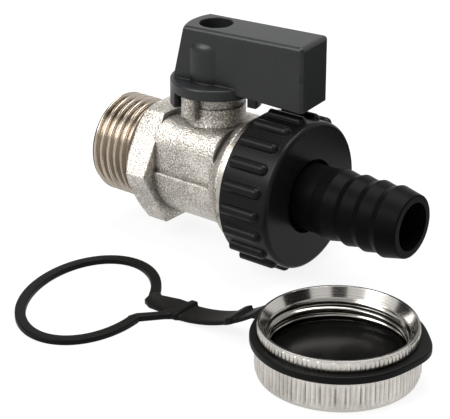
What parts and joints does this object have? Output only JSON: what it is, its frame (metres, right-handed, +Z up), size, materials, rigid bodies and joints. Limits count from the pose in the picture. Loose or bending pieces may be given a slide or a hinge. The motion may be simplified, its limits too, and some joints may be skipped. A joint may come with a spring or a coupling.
{
  "type": "drain cock",
  "caption": "Lever ball valve for draining water systems: male pipe thread, black union nut with barbed hose tail, and a knurled blanking cap on a rubber strap lying beside it.",
  "frame": {"origin": "centre of the inlet thread's end face", "axes": "+X along the flow towards the hose tail, +Z up the lever's stem"},
  "size_m": [0.093, 0.0717, 0.047],
  "materials": {
    "nickel_casting": "nickel plate over a grainy forging",
    "nickel_turned": "nickel plate over turned brass",
    "nickel_cap": "bright nickel plate",
    "chromed_ball": "polished chrome plate",
    "brass_stem": "turned brass",
    "steel_screw": "zinc plated",
    "lever_plastic": "satin black moulding",
    "nut_plastic": "satin black moulding",
    "tail_plastic": "satin black moulding",
    "seat_polymer": "white slippery polymer",
    "seal_rubber": "matte",
    "cap_rubber": "matte",
    "strap_rubber": "matte"
  },
  "bodies": {
    "valve": {"valve_body": "nickel_casting", "outlet_insert": "nickel_turned", "inlet_seat": "seat_polymer", "outlet_seat": "seat_polymer", "cap_strap": "strap_rubber"},
    "lever": {"lever": "lever_plastic", "lever_screw": "steel_screw", "stem": "brass_stem", "stem_washer": "seat_polymer", "lower_o_ring": "seal_rubber", "upper_o_ring": "seal_rubber", "ball": "chromed_ball"},
    "tail": {"hose_tail": "tail_plastic", "union_gasket": "seal_rubber"},
    "nut": {"union_nut": "nut_plastic"},
    "cap": {"blanking_cap": "nickel_cap", "cap_gasket": "cap_rubber"}
  },
  "joints": [
    {"name": "lever_turn", "type": "hinge", "parent": "valve", "child": "lever", "pos_m": [0.0251, 0, 0.0184], "axis": [0, 0, 1], "range_deg": [-90, 0]},
    {"name": "tail_slide", "type": "slide", "parent": "valve", "child": "tail", "axis": [1, 0, 0], "range_m": [0, 0.00635]},
    {"name": "nut_turn", "type": "hinge", "parent": "tail", "child": "nut", "pos_m": [0.043, 0, 0], "axis": [1, 0, 0], "range_deg": [0, 1260]},
    {"name": "cap_spin", "type": "hinge", "parent": "valve", "child": "cap", "pos_m": [0.0767, -0.03045, -0.01605], "axis": [0, 0, 1], "continuous": true}
  ],
  "couplings": [
    {"joint": "nut_turn", "follows": "tail_slide", "rad_per_m": 3463.7}
  ]
}
